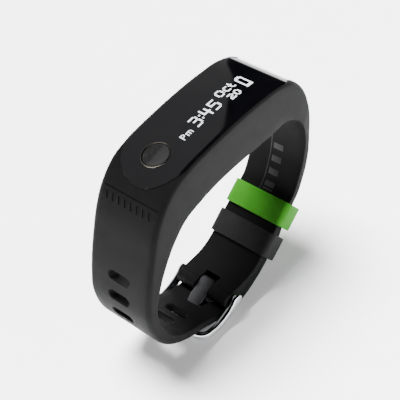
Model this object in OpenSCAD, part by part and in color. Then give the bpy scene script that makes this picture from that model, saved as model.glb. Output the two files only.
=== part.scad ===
// Fitness tracker band: a one-piece silicone wristband that holds a display capsule,
// closed under the wrist by a polished buckle, with the spare strap end under two loops.
// +X runs along the display away from the button, +Y across the band, +Z out of the display.

/* [Band] */
// Width of the band at the capsule
band_w = 20.6; // [20:0.1:22]
// Width of the buckle strap under the loops
strap_w = 17; // [16.8:0.1:17.2]
// Width of the hole strap where it passes through the buckle
tail_w = 16.4; // [15:0.1:16.6]
// Width of each sizing slot, across the strap
slot_w = 6.8; // [5:0.1:8]
// Length of each sizing slot, along the strap
slot_l = 2.3; // [1.8:0.1:2.6]

/* [Capsule] */
// Width of the glossy front window
lens_w = 19.4; // [19:0.1:19.6]
// Wall of the front window
lens_t = 1.4; // [1.2:0.1:1.5]
// Width of the capsule's casing
case_w = 18; // [17.8:0.1:18.2]
// Wall of the capsule's casing
case_t = 1; // [0.9:0.1:1.1]

/* [Button] */
// Radius of the dished button
button_r = 3.3; // [3:0.1:3.5]
// Depth of the dish in the button's face
dish_depth = 0.5; // [0.2:0.1:0.6]

/* [Buckle] */
// Radius of the buckle pin
pin_r = 0.6; // [0.5:0.05:0.7]
// Width of the tongue
tongue_w = 4.3; // [3:0.1:4.6]
// Length of the free loop and of the keeper, along the strap
loop_l = 6.4; // [5.6:0.1:6.4]
// Wall of the free loop and of the keeper
loop_t = 0.85; // [0.7:0.05:0.9]

/* [Hidden] */
$fn = 48;
steps = 6;      // straight pieces between two points of a curve
fit = 0.05;     // gap round a piece that is held fast
slip = 0.15;    // gap round a piece that slides

// The straight stretch of the buckle strap, where the loops sit. A place on it is given
// by the distance up the strap from its middle and the depth below its wrist side.
stretch_mid = [13.6, 12.6];
stretch_tilt = 32;
strap_t = 2.2;
tail_top = strap_t + 0.3;
tail_t = 2;
tail_tip = 6.9;
function on_strap(up, deep) =
    stretch_mid + up * [cos(stretch_tilt), sin(stretch_tilt)]
                + deep * [sin(stretch_tilt), -cos(stretch_tilt)];

pin_at = [-5, 4.2];
lug_r = 2.1;

// Side view of the band, as [x, z]. Both curves start at the buckle pin, climb the buckle
// strap, cross the capsule and come down the hole strap to the tip of its tail.
wrist_pts = [
    [-5, 6.3], [-1.5, 6.2], [2.3, 6.5],
    on_strap(-8.5, 0), on_strap(-7, 0), on_strap(0, 0), on_strap(8, 0), on_strap(9.5, 0),
    [25.4, 22.2], [28.1, 27.5], [29.2, 33], [28.6, 38], [26.6, 41.9], [23, 44.1],
    [19, 44.2], [-8, 44.2],
    [-13.5, 42.9], [-18.2, 39.8], [-21.8, 36.2], [-26.4, 30],
    [-28.6, 25.5], [-28.9, 20.7], [-27.6, 15.5], [-24.8, 11], [-20.5, 7.8], [-15, 5.1],
    [-10, 2.9], [-5, 2], [-1.2, 2.5], [3.1, 3.9],
    on_strap(-8.5, tail_top), on_strap(-7, tail_top), on_strap(tail_tip, tail_top)
];
outer_pts = [
    [-5, 2.3], [-1.5, 2.8], [3.2, 4.2],
    on_strap(-8.5, strap_t), on_strap(-7, strap_t), on_strap(8, strap_t), on_strap(9.5, strap_t),
    [27.3, 20.7], [30.3, 26.8], [31.6, 34], [32.05, 43], [30.8, 49.5], [28.1, 53],
    [23.5, 55.1], [16, 56.1],
    [-2, 56.1], [-8.5, 55.6], [-14, 54.2], [-19.2, 50.4], [-23, 45.5], [-26, 39.8], [-30.3, 30],
    [-32, 24], [-31.8, 18], [-28.8, 11.3], [-21.9, 5.6], [-16, 3.1],
    [-10.6, 0.9], [-5, 0], [-0.8, 0.4], [3.9, 1.9],
    on_strap(-8.5, tail_top + tail_t), on_strap(-7, tail_top + tail_t),
    on_strap(tail_tip, tail_top + tail_t)
];
wrist_last = len(wrist_pts) - 1;
outer_last = len(outer_pts) - 1;
wrist_cut = 18;     // where the hole strap leaves the capsule, on the wrist side
outer_cut = 20;     // and on the outer side
window_from = 11;   // the stretch of the outer curve that the front window covers
window_to = 19;

// A smooth curve through points of any spacing
function gap(p, i) = norm(p[i + 1] - p[i]);
function heading(p, i) =
    i == 0 ? (p[1] - p[0]) / gap(p, 0)
    : i == len(p) - 1 ? (p[i] - p[i - 1]) / gap(p, i - 1)
    : ((p[i] - p[i - 1]) * gap(p, i) / gap(p, i - 1)
        + (p[i + 1] - p[i]) * gap(p, i - 1) / gap(p, i)) / (gap(p, i - 1) + gap(p, i));
function between(p, i, u) =
    (2 * u - 3) * u * u * (p[i] - p[i + 1]) + p[i]
    + u * (1 - u) * gap(p, i) * ((1 - u) * heading(p, i) - u * heading(p, i + 1));
function curve(p, from, to) = concat(
    [for (i = [from:to - 1]) for (k = [0:steps - 1]) between(p, i, k / steps)], [p[to]]);
function reversed(p) = [for (i = [len(p) - 1:-1:0]) p[i]];
// The same line moved sideways, to the left of its own direction
function moved(p, by) = [for (i = [0:len(p) - 1])
    let (d = p[min(i + 1, len(p) - 1)] - p[max(i - 1, 0)]) p[i] + by * [-d[1], d[0]] / norm(d)];

// A side view given in x and z, made w wide and centred on the band
module side(w) { rotate([90, 0, 0]) linear_extrude(w, center = true) children(); }
module side_at(p, y) { translate([p[0], y, p[1]]) rotate([90, 0, 0]) children(); }

module rounded_rect(l, w, r) {
    square([l - 2 * r, w], center = true);
    square([l, w - 2 * r], center = true);
    for (x = [-1, 1]) for (y = [-1, 1]) translate([x * (l / 2 - r), y * (w / 2 - r)]) circle(r);
}
module block(x, w, z, r) {
    translate([(x[0] + x[1]) / 2, 0, z[0]])
        linear_extrude(z[1] - z[0]) rounded_rect(x[1] - x[0], w, r);
}
module box(x, y, z) {
    translate([x[0], y[0], z[0]]) cube([x[1] - x[0], y[1] - y[0], z[1] - z[0]]);
}

// ---- wristband -------------------------------------------------------------------------

slot_first = 8.4;
slot_pitch = 5.35;
slot_count = 12;
lug_w = 17;
notch_w = tongue_w + 0.6;

// The middle line of the hole strap, from which the slots are spaced
hole_line = let (a = curve(wrist_pts, wrist_cut, wrist_last), b = curve(outer_pts, outer_cut, outer_last))
    [for (i = [0:len(b) - 1]) (a[min(round(i * (len(a) - 1) / (len(b) - 1)), len(a) - 1)] + b[i]) / 2];
function line_length(p, n) = n == 0 ? 0 : line_length(p, n - 1) + norm(p[n] - p[n - 1]);
function index_at(p, s, i = 0, run = 0) =
    i == len(p) - 2 || run + norm(p[i + 1] - p[i]) > s ? [i, (s - run) / norm(p[i + 1] - p[i])]
    : index_at(p, s, i + 1, run + norm(p[i + 1] - p[i]));
function place_at(p, s) = let (k = index_at(p, s), d = p[k[0] + 1] - p[k[0]])
    [p[k[0]] + k[1] * d, atan2(d[1], d[0])];

module slot_cutter(s) {
    place = place_at(hole_line, s);
    translate([place[0][0], 0, place[0][1]]) rotate([0, -place[1], 0])
        linear_extrude(9, center = true) rotate(90) rounded_rect(slot_w, slot_l, slot_l / 2 - 0.01);
}
// Outline across the capsule and the buckle strap: a chamfered top and a strap that narrows
module cross_outline() {
    h = band_w / 2;
    s = strap_w / 2;
    top = [[h, 54.9], [h - 0.7, 55.8], [h - 2, 56.6]];
    strap = [[s, -1], [s, 20], [s + 0.5, 30], [h - 0.5, 38], [h, 44]];
    for (part = [[-40, 40, concat([[h, 26]], top)], [-9, 49, concat(strap, top)]])
        translate([part[0], 0, 0]) rotate([90, 0, 90]) linear_extrude(part[1])
            polygon(concat(part[2], reversed([for (p = part[2]) [-p[0], p[1]]])));
}
// Plan outline of the hole strap: it narrows to the tail and has a round tip
module tail_outline() {
    h = band_w / 2;
    t = tail_w / 2;
    tip = on_strap(tail_tip, tail_top)[0] - t + 1.6;
    translate([0, 0, -1]) linear_extrude(28) {
        polygon([[-34, -h], [-30, -h], [-25, -h + 0.8], [-19.5, -t], [tip, -t + 0.3],
                 [tip, t - 0.3], [-19.5, t], [-25, h - 0.8], [-30, h], [-34, h]]);
        translate([tip - 0.2, 0]) circle(t - 0.3);
    }
    box([-34, -18], [-h, h], [26, 50]);
}
module hole_strap() difference() {
    intersection() {
        side(band_w) polygon(concat(curve(outer_pts, outer_cut, outer_last),
                                    reversed(curve(wrist_pts, wrist_cut, wrist_last))));
        tail_outline();
    }
    for (i = [0:slot_count - 1]) slot_cutter(slot_first + slot_pitch * i);
    side(tongue_w + 0.6) polygon(tongue_sweep_pts);
}
module wristband() color("#2b2b2b") {
    hole_strap();
    difference() {
        union() {
            intersection() {
                side(band_w) polygon(concat(curve(outer_pts, 0, outer_cut),
                                            reversed(curve(wrist_pts, 0, wrist_cut))));
                cross_outline();
            }
            side(lug_w) translate(pin_at) circle(lug_r);
        }
        window_space();
        capsule_space();
        side(band_w) translate(pin_at) circle(pin_r + 0.02);
        box([pin_at[0] - 3, pin_at[0] + 2.4], [-notch_w / 2, notch_w / 2], [2.1, 8]);
    }
}

// ---- front window ----------------------------------------------------------------------

lens_round = 8.8;       // how far the round end reaches, along the band
lens_x = [-8.6, 27.7];  // where the round end starts, and the far end
lens_corner = 2.6;
trim_w = 16.4;
trim_x = [27.75, 28.7];
pad_x = [-7, 26];
pad_z = 53.5;

module lens_outline(grow) {
    h = lens_w / 2 + grow;
    ends = lens_x[1] + grow - lens_corner;
    linear_extrude(80) {
        polygon(concat(
            [for (a = [90:5:270]) [lens_x[0] + (lens_round + grow) * cos(a), h * sin(a)]],
            [[ends, -h], [ends + lens_corner, -h + lens_corner],
             [ends + lens_corner, h - lens_corner], [ends, h]]));
        for (y = [-1, 1]) translate([ends, y * (h - lens_corner)]) circle(lens_corner);
    }
}
// A skin on the outer curve, from the depth a to the depth b below it
module skin(a, b) {
    line = curve(outer_pts, window_from, window_to);
    side(band_w + 2) polygon(concat(moved(line, a), reversed(moved(line, b))));
}
module under_window(depth) {
    side(band_w) polygon(concat(moved(curve(outer_pts, window_from, window_to), depth),
                                [[-22, 40], [30, 40]]));
}
module window_space() {
    intersection() {
        skin(-2, lens_t + fit);
        union() {
            lens_outline(fit);
            box([trim_x[0] - 1, trim_x[1] + fit], [-trim_w / 2 - fit, trim_w / 2 + fit], [45, 60]);
        }
    }
}
module front_window() color("#0b0b0c") difference() {
    intersection() {
        union() {
            skin(0, lens_t);
            intersection() {
                side(case_w - 1) polygon(curve(outer_pts, window_from, window_to));
                box(pad_x, [-case_w / 2, case_w / 2], [pad_z, 60]);
            }
        }
        lens_outline(0);
        cross_outline();
    }
    in_button() translate([0, 0, -5]) cylinder(r = ring_r + 0.02, h = 8);
}
module end_trim() color("silver") intersection() {
    skin(0.02, lens_t - 0.3);
    box(trim_x, [-trim_w / 2, trim_w / 2], [45, 60]);
}

// ---- capsule casing --------------------------------------------------------------------

case_x = [-13, 27];
case_corner = 3;
floor_z = [45, 45.8];
split_z = 49.35;
deck_z = [51.9, 52.9];
plate_x = [-9, 21];
plate_w = 13.4;
plate_z = 44.1;
inner_x = [case_x[0] + case_t, case_x[1] - case_t];
inner_w = case_w - 2 * case_t;
screw_at = [for (x = [-10.5, 24.5]) for (y = [-6.5, 6.5]) [x, y]];
screw_r = 0.5;
boss_r = 1.2;
contact_x = [2, 6, 10, 14];
contact_r = 0.9;
display_x = [-5, 23.8];
display_w = 12;
display_z = [52, 53.4];

module capsule_space() {
    intersection() {
        block([case_x[0] - fit, case_x[1] + fit], case_w + 2 * fit, [floor_z[0] - fit, 57], case_corner);
        under_window(lens_t);
    }
    block([plate_x[0] - fit, plate_x[1] + fit], plate_w + 2 * fit, [40, 46], 2);
}
module case_back() color("#1c1c1e") difference() {
    union() {
        difference() {
            block(case_x, case_w, [floor_z[0], split_z - fit], case_corner);
            block(inner_x, inner_w, [floor_z[1], split_z + 1], case_corner - case_t);
        }
        block(plate_x, plate_w, [plate_z, floor_z[1]], 2);
        for (p = screw_at) translate([p[0], p[1], floor_z[0] + 0.1]) cylinder(r = boss_r, h = 4.2);
    }
    for (p = screw_at) translate([p[0], p[1], floor_z[0]]) {
        translate([0, 0, -1]) cylinder(r = screw_r + 0.05, h = 6);
        translate([0, 0, -1]) cylinder(r = 1.05, h = 1.65);
    }
    for (x = contact_x) translate([x, 0, 40]) cylinder(r = contact_r + 0.02, h = 8);
    seal_ring(0.02);
}
module seal_ring(grow) {
    out = 0.3 - grow;
    inn = 0.7 + grow;
    difference() {
        block([case_x[0] + out, case_x[1] - out], case_w - 2 * out, [split_z - 0.4 - grow, split_z - 0.02 + grow],
              case_corner - out);
        block([case_x[0] + inn, case_x[1] - inn], case_w - 2 * inn, [split_z - 1, split_z + 1],
              case_corner - inn);
    }
}
module case_seal() color("#8a2f23") seal_ring(0);
module case_frame() color("#202022") difference() {
    intersection() {
        union() {
            difference() {
                block(case_x, case_w, [split_z, deck_z[1]], case_corner);
                block(inner_x, inner_w, [split_z - 1, deck_z[0]], case_corner - case_t);
            }
            for (p = screw_at) translate([p[0], p[1], 50.3]) cylinder(r = boss_r, h = 2);
        }
        under_window(lens_t + fit);
    }
    for (p = screw_at) translate([p[0], p[1], 49]) cylinder(r = screw_r + 0.02, h = 2.7);
    box([display_x[0] - 0.2, display_x[1] + 1], [-display_w / 2 - 0.2, display_w / 2 + 0.2], [50, 56]);
    in_button() translate([0, 0, -6]) cylinder(r = 1.3, h = 8);
}
module case_screws() color("#b9bcc0") for (p = screw_at) translate([p[0], p[1], floor_z[0] + 0.05]) {
    difference() {
        union() {
            cylinder(r = 1, h = 0.55);
            cylinder(r = screw_r, h = 6.4);
        }
        translate([0, 0, -0.1]) cylinder(r = 0.45, h = 0.4, $fn = 6);
    }
}
module charge_contacts() color("#d8b25a")
    for (x = contact_x) translate([x, 0, plate_z - 0.02]) cylinder(r = contact_r, h = 1.65);
module window_tape() color("#151515") intersection() {
    difference() {
        block([pad_x[0] + 0.2, pad_x[1] - 0.2], 16.6, [deck_z[1] + 0.02, pad_z - 0.02], 1);
        box([display_x[0] - 0.2, display_x[1] + 0.2], [-display_w / 2 - 0.2, display_w / 2 + 0.2], [50, 56]);
    }
    under_window(lens_t + fit);
}

// ---- button ----------------------------------------------------------------------------

button_at = [-9.4, 55.42];
button_tilt = 9;
ring_r = button_r + 0.4;
stem_l = 1.75;
module in_button() { translate([button_at[0], 0, button_at[1]]) rotate([0, -button_tilt, 0]) children(); }

module button_ring() color("#5c5750") in_button() difference() {
    translate([0, 0, -1.2]) cylinder(r = ring_r, h = 1.35);
    translate([0, 0, -2]) cylinder(r = ring_r - 0.3, h = 4);
}
dish_r = (button_r * button_r + dish_depth * dish_depth) / (2 * dish_depth);
module button_cap() color("#101011") in_button() {
    difference() {
        translate([0, 0, -1.2]) cylinder(r = button_r, h = 1.2);
        translate([0, 0, dish_r - dish_depth]) sphere(dish_r, $fn = 96);
    }
    translate([0, 0, -1.2 - stem_l]) cylinder(r = 0.8, h = stem_l + 0.2);
}
module button_seal() color("#3a3a3a") in_button() translate([0, 0, -1.95]) difference() {
    cylinder(r = 2.2, h = 0.35);
    translate([0, 0, -1]) cylinder(r = 0.9, h = 3);
}
switch_x = -8.95;
module switch_body() color("#c9c9c4") difference() {
    translate([switch_x - 1.7, -1.7, board_z[1]]) cube([3.4, 3.4, 1.3]);
    translate([switch_x, 0, board_z[1] + 0.3]) cylinder(r = 1.05, h = 4);
}
module switch_plunger() color("#2e2e30")
    translate([switch_x, 0, board_z[1] + 0.7]) cylinder(r = 0.9, h = 1.45);

// ---- electronics -----------------------------------------------------------------------

board_z = [49.42, 50.2];
module display_panel() color("#05070a") box(display_x, [-display_w / 2, display_w / 2], display_z);
module display_foam() color("#4a4d52") box([display_x[0] + 1.5, display_x[1] - 1.5], [-5, 5], [51.25, 51.98]);
module display_flex() color("#b5762b") side(7) difference() {
    translate([display_x[1] + 0.02, board_z[1] + 0.02]) square([0.7, 2.4]);
    translate([display_x[1] - 0.2, board_z[1] + 0.14]) square([0.8, 2.16]);
}
module main_board() color("#1d5a3a") difference() {
    block([inner_x[0] + 0.2, inner_x[1] - 0.2], inner_w - 0.4, board_z, 1.8);
    for (p = screw_at) translate([p[0], p[1], 45]) cylinder(r = 0.7, h = 8);
}
module radio_chip() color("#222428") box([1, 7], [-3, 3], [board_z[1], board_z[1] + 0.9]);
module motion_sensor() color("#2b2d31") box([10, 12.5], [-4.5, -2], [board_z[1], board_z[1] + 0.9]);
module memory_chip() color("#26282c") box([10, 14], [0.5, 3.7], [board_z[1], board_z[1] + 0.8]);
module antenna() color("#d9d4c4") box([17, 20.2], [4.6, 6.2], [board_z[1], board_z[1] + 1]);
module small_parts() color("#a88f6a") {
    for (i = [0:4]) box([-4 + 2 * i, -3 + 2 * i], [-6.6, -6], [board_z[1], board_z[1] + 0.5]);
    for (i = [0:2]) box([15 + 1.6 * i, 15.6 + 1.6 * i], [-3, -1.8], [board_z[1], board_z[1] + 0.5]);
}
module battery() color("#c8ccd2") block([-3, 23], 12.4, [45.9, 49.1], 1);

motor_at = [-7.5, 0, 45.9];
motor_r = 4;
module motor_can() color("#b4b7bb") translate(motor_at) difference() {
    cylinder(r = motor_r, h = 2.7);
    translate([0, 0, -1]) cylinder(r = motor_r - 0.25, h = 3.45);
}
module motor_base() color("#8f9296") translate(motor_at) cylinder(r = motor_r - 0.27, h = 0.25);
module motor_shaft() color("#d5d8db") translate(motor_at + [0, 0, 0.25]) cylinder(r = 0.4, h = 2.18);
module motor_rotor() color("#77797d") translate(motor_at + [0, 0, 0.6]) difference() {
    union() {
        intersection() {
            cylinder(r = 3.4, h = 1.3);
            translate([0, -4, -1]) cube([8, 8, 4]);
        }
        cylinder(r = 1.1, h = 1.3);
    }
    translate([0, 0, -1]) cylinder(r = 0.45, h = 4);
}

// ---- buckle ----------------------------------------------------------------------------

frame_w = 20.5;
frame_gap = 17.3;
frame_pts = [[-2.9, 5.3], pin_at, [-8.6, 2.5], [-12.6, 1.75], [-18.7, 2.85]];
frame_half = 0.85;
frame_x = [-18.6, -3.2];
bar_l = 1.7;
tongue_pts = [[-5.4, 5.5], [-8.4, 4.35], [-11.6, 2.75], [-14.4, 1.35], [-16.6, 0.6], [-18.2, 0.62]];
function tapered(p, a, b) = [for (i = [0:len(p) - 1]) a + (b - a) * i / (len(p) - 1)];
// Both edges of a bar of varying thickness along a line
function bar_edges(p, a, b) = let (t = tapered(p, a, b), l = moved(p, 1), n = len(p) - 1)
    concat([for (i = [0:n]) p[i] + t[i] * (l[i] - p[i])],
           [for (i = [n:-1:0]) p[i] - t[i] * (l[i] - p[i])]);
tongue_line = curve(tongue_pts, 0, len(tongue_pts) - 1);
// Where the tongue lies at rest, and where it goes as the buckle swings out
function turned(p, a) = pin_at + [(p[0] - pin_at[0]) * cos(a) - (p[1] - pin_at[1]) * sin(a),
                                  (p[0] - pin_at[0]) * sin(a) + (p[1] - pin_at[1]) * cos(a)];
swing = 6;
blade_stretch = [for (i = [5:24]) tongue_line[i]];
tongue_sweep_pts = let (n = len(blade_stretch) - 1, up = moved(blade_stretch, -0.85), low = moved(blade_stretch, 0.85))
    concat(up, reversed([for (p = low) turned(p, swing)]));

module buckle_pin() color("silver") side(frame_w - 0.6) translate(pin_at) circle(pin_r);
module buckle_frame() color("#c9ccd0") difference() {
    intersection() {
        union() {
            side(frame_w) polygon(bar_edges(curve(frame_pts, 1, len(frame_pts) - 1), frame_half + 0.35, frame_half));
            side(frame_w) translate(pin_at) circle(1.6);
        }
        translate([0, 0, -5]) linear_extrude(20) difference() {
            translate([(frame_x[0] + 3) / 2, 0]) rounded_rect(3 - frame_x[0], frame_w, 3);
            translate([(frame_x[0] + bar_l + 9) / 2, 0])
                rounded_rect(9 - frame_x[0] - bar_l, frame_gap, 1.4);
        }
    }
    side(frame_w - 0.56) translate(pin_at) circle(pin_r + 0.03);
}
module buckle_tongue() color("#4a4a4c") difference() {
    union() {
        side(tongue_w) polygon(bar_edges(tongue_line, 0.6, 0.36));
        side(tongue_w) translate(pin_at) circle(1.95);
    }
    side(tongue_w + 1) translate(pin_at) circle(pin_r + 0.05);
}

// ---- loops -----------------------------------------------------------------------------

loop_deep = tail_top + tail_t + 2 * slip;
module loop_at(up) {
    h = strap_w / 2 + slip;
    mid = on_strap(up, (tail_top + tail_t) / 2);
    translate([mid[0], 0, mid[1]]) rotate([0, 90 - stretch_tilt, 0]) linear_extrude(loop_l, center = true)
        difference() {
            rounded_rect(loop_deep + 2 * loop_t, 2 * (h + loop_t), 1.3);
            rounded_rect(loop_deep, 2 * h, 0.4);
        }
}
module keeper() color("#242424") loop_at(-4.1);
module free_loop() color("#4f9b31") loop_at(4.7);

wristband();
front_window();
end_trim();
case_back();
case_frame();
case_seal();
case_screws();
charge_contacts();
window_tape();
button_ring();
button_cap();
button_seal();
switch_body();
switch_plunger();
display_panel();
display_foam();
display_flex();
main_board();
radio_chip();
motion_sensor();
memory_chip();
antenna();
small_parts();
battery();
motor_can();
motor_base();
motor_shaft();
motor_rotor();
buckle_pin();
buckle_frame();
buckle_tongue();
keeper();
free_loop();
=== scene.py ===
import math

import bmesh
import bpy
from mathutils import Matrix, Vector


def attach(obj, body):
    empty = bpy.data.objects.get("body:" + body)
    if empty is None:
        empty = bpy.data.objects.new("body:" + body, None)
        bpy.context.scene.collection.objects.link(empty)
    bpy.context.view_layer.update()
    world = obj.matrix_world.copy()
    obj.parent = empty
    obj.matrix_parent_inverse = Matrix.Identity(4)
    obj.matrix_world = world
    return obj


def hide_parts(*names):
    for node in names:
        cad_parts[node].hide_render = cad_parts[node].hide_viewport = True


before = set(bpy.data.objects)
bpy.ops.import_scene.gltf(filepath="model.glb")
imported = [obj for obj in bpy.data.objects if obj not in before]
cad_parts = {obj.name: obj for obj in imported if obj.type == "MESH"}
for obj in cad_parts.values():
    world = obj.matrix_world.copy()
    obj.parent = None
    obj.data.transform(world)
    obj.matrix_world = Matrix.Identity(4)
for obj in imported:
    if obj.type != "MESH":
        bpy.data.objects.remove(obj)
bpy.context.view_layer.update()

MM = 0.001

# ---- camera ----------------------------------------------------------------------------

CAMERA_AT = (-126.4, -168.67, 241.85)
CAMERA_RIGHT = (0.6616, -0.7261, -0.1873)
CAMERA_UP = (0.6188, 0.3876, 0.6833)
CAMERA_BACK = (-0.4235, -0.568, 0.7057)
CAMERA_LENS = 109.12


def aim(obj, at, right, up, back):
    turn = Matrix((right, up, back)).transposed().to_4x4()
    obj.matrix_world = Matrix.Translation(Vector(at) * MM) @ turn


camera_data = bpy.data.cameras.new("camera")
camera = bpy.data.objects.new("camera", camera_data)
bpy.context.scene.collection.objects.link(camera)
camera_data.lens = CAMERA_LENS
camera_data.sensor_width = 36
camera_data.clip_start = 0.01
camera_data.clip_end = 10
aim(camera, CAMERA_AT, CAMERA_RIGHT, CAMERA_UP, CAMERA_BACK)
bpy.context.scene.camera = camera


# ---- materials -------------------------------------------------------------------------


def shade(hex_code):
    """A linear colour from an sRGB hex value."""
    parts = [int(hex_code[i:i + 2], 16) / 255 for i in (1, 3, 5)]
    return tuple(
        [c / 12.92 if c <= 0.04045 else ((c + 0.055) / 1.055) ** 2.4 for c in parts] + [1.0]
    )


def add(tree, kind, links=(), **settings):
    """Adds a node. A setting is an attribute, or an input when its name starts with in_."""
    node = tree.nodes.new(kind)
    for name, value in settings.items():
        if name.startswith("in_"):
            node.inputs[name[3:].replace("_", " ")].default_value = value
        else:
            setattr(node, name, value)
    for source, socket in links:
        tree.links.new(source, node.inputs[socket])
    return node


def new_material(name):
    material = bpy.data.materials.new(name)
    material.use_nodes = True
    material.node_tree.nodes.clear()
    return material, material.node_tree


def close_material(tree, shader):
    add(tree, "ShaderNodeOutputMaterial", [(shader.outputs[0], "Surface")])


def grain(tree, size_mm, detail=3.0, rough=0.6):
    """Noise whose features are about size_mm across."""
    place = add(tree, "ShaderNodeTexCoord")
    return add(
        tree, "ShaderNodeTexNoise", [(place.outputs["Object"], "Vector")],
        in_Scale=1 / (size_mm * MM), in_Detail=detail, in_Roughness=rough,
    )


def blend_colours(tree, factor, low, high, lo=0.3, hi=0.7):
    ramp = add(tree, "ShaderNodeValToRGB", [(factor, "Fac")])
    ramp.color_ramp.elements[0].position = lo
    ramp.color_ramp.elements[1].position = hi
    ramp.color_ramp.elements[0].color = shade(low)
    ramp.color_ramp.elements[1].color = shade(high)
    return ramp


def spread(tree, factor, low, high):
    return add(
        tree, "ShaderNodeMapRange", [(factor, "Value")],
        in_From_Min=0.3, in_From_Max=0.7, in_To_Min=low, in_To_Max=high,
    )


def moulded(name, low, high, rough, grain_mm, bump_mm, ior=1.45, mottle_mm=3.0, **extra):
    """A moulded plastic or rubber: slow mottling in its colour and gloss, and a fine skin."""
    material, tree = new_material(name)
    mottle = grain(tree, mottle_mm, 4.0)
    skin = grain(tree, grain_mm, 2.0)
    colour = blend_colours(tree, mottle.outputs["Fac"], low, high)
    uneven = min(0.04, rough * 0.4)
    gloss = spread(tree, mottle.outputs["Fac"], rough - uneven, rough + uneven)
    bump = add(
        tree, "ShaderNodeBump", [(skin.outputs["Fac"], "Height")],
        in_Strength=0.6, in_Distance=bump_mm * MM,
    )
    shader = add(
        tree, "ShaderNodeBsdfPrincipled",
        [(colour.outputs["Color"], "Base Color"), (gloss.outputs["Result"], "Roughness"),
         (bump.outputs["Normal"], "Normal")],
        in_IOR=ior, **extra,
    )
    close_material(tree, shader)
    return material


def metal(name, low, high, rough, brush_mm, bump_mm=0.002):
    """A worked metal: brushing drawn out along one axis, and slow changes in its polish."""
    material, tree = new_material(name)
    place = add(tree, "ShaderNodeTexCoord")
    drawn = add(
        tree, "ShaderNodeMapping", [(place.outputs["Object"], "Vector")],
        in_Scale=tuple(1 / (s * MM) for s in brush_mm),
    )
    lines = add(
        tree, "ShaderNodeTexNoise", [(drawn.outputs["Vector"], "Vector")],
        in_Scale=1.0, in_Detail=2.0,
    )
    wear = grain(tree, 2.0, 4.0)
    colour = blend_colours(tree, wear.outputs["Fac"], low, high)
    gloss = spread(tree, wear.outputs["Fac"], max(rough - 0.05, 0.02), rough + 0.05)
    bump = add(
        tree, "ShaderNodeBump", [(lines.outputs["Fac"], "Height")],
        in_Strength=0.5, in_Distance=bump_mm * MM,
    )
    shader = add(
        tree, "ShaderNodeBsdfPrincipled",
        [(colour.outputs["Color"], "Base Color"), (gloss.outputs["Result"], "Roughness"),
         (bump.outputs["Normal"], "Normal")],
        in_Metallic=1.0,
    )
    close_material(tree, shader)
    return material


# Liquid silicone rubber, moulded in an eroded steel mould: dull, with a soft sheen at a
# grazing view. The mould's grain is 0.05 mm, drawn at 0.12 mm so that it shows.
black_silicone = moulded("black_silicone", "#0a0a0a", "#0c0c0c", 0.6, 0.12, 0.012, ior=1.41,
                         in_Specular_IOR_Level=0.1)
# The raised marks take the polish of a smooth patch in the mould, in their lower roughness. Their
# colour is painted lighter than the band's silicone, as a painted sheen.
polish_and_painted_sheen_silicone = moulded("polish_and_painted_sheen_silicone", "#1b1b1b", "#1f1f1f", 0.45, 0.2, 0.004,
                            ior=1.41, in_Specular_IOR_Level=0.3)
# The keeper is the band's black silicone, painted lighter (#141414 against #0a0a0a) so that it reads
# brighter: painted light, a lit copy of one material.
keeper_silicone_painted_lighter = moulded("keeper_silicone_painted_lighter", "#141414", "#181818", 0.58, 0.12, 0.012, ior=1.41,
                        in_Specular_IOR_Level=0.12)
green_silicone = moulded("green_silicone", "#245a13", "#2a6117", 0.55, 0.12, 0.01, ior=1.41,
                         in_Specular_IOR_Level=0.12)
# Smoked polycarbonate with a hard coat, as a mirror over black.
smoked_window = moulded("smoked_window", "#020203", "#040405", 0.025, 1.0, 0.0002,
                        ior=1.55, mottle_mm=8)
# The button is the same polycarbonate with a satin surface.
satin_button = moulded("satin_button", "#121212", "#161616", 0.16, 0.2, 0.001, ior=1.55)
# Light from the display's white dots.
lit_dots, _tree = new_material("lit_dots")
close_material(_tree, add(_tree, "ShaderNodeEmission", in_Color=shade("#f4f7fa"), in_Strength=3.0))
# Zinc casting, polished and chrome plated.
chrome = metal("chrome_plate", "#d6d8db", "#e2e4e6", 0.1, (2, 2, 2), 0.0006)
# Anodised aluminium ring, turned and left bronze grey.
bronze_ring = metal("anodised_ring", "#77726a", "#837d74", 0.35, (0.1, 0.1, 0.4))
# Stainless steel with a dark coating, brushed along its length.
dark_steel = metal("dark_brushed_steel", "#87878b", "#929296", 0.4, (3, 0.06, 3), 0.003)
bare_steel = metal("drawn_steel", "#a9abae", "#b5b7ba", 0.25, (0.06, 3, 0.06))
tungsten = metal("sintered_tungsten", "#5f6063", "#6c6d70", 0.5, (0.1, 0.1, 0.1), 0.01)
gold_plate = metal("gold_plate", "#d6b062", "#e0bd74", 0.18, (0.3, 0.3, 0.3), 0.001)
foil = metal("laminated_foil", "#a5a8ad", "#b9bcc0", 0.32, (0.5, 0.5, 0.5), 0.02)
# ABS casing, moulded with a spark-eroded texture of 0.1 mm.
casing_abs = moulded("casing_abs", "#191a1c", "#1f2022", 0.45, 0.14, 0.015, ior=1.54)
red_seal = moulded("red_silicone_seal", "#84301f", "#903a28", 0.5, 0.2, 0.01, ior=1.41)
# Foam and ceramic are matt and cellular or granular. Glass, film and mask are coated and glossy.
black_foam = moulded("closed_cell_foam", "#26272a", "#34363a", 0.85, 0.15, 0.05,
                     ior=1.4, mottle_mm=0.3)
display_glass = moulded("display_glass", "#05070a", "#080b10", 0.06, 1.0, 0.0003,
                        ior=1.52, mottle_mm=6)
polyimide = moulded("polyimide_film", "#a8681f", "#b5752a", 0.25, 0.4, 0.002,
                    ior=1.7, mottle_mm=1.0)
solder_mask = moulded("green_solder_mask", "#14502f", "#1a5c38", 0.3, 0.6, 0.006,
                      ior=1.5, mottle_mm=1.2)
chip_epoxy = moulded("chip_epoxy", "#202226", "#292b2f", 0.6, 0.08, 0.01, ior=1.55, mottle_mm=0.5)
ceramic = moulded("fired_ceramic", "#c9c3b2", "#d8d3c4", 0.5, 0.1, 0.006, ior=1.6, mottle_mm=0.4)

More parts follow.
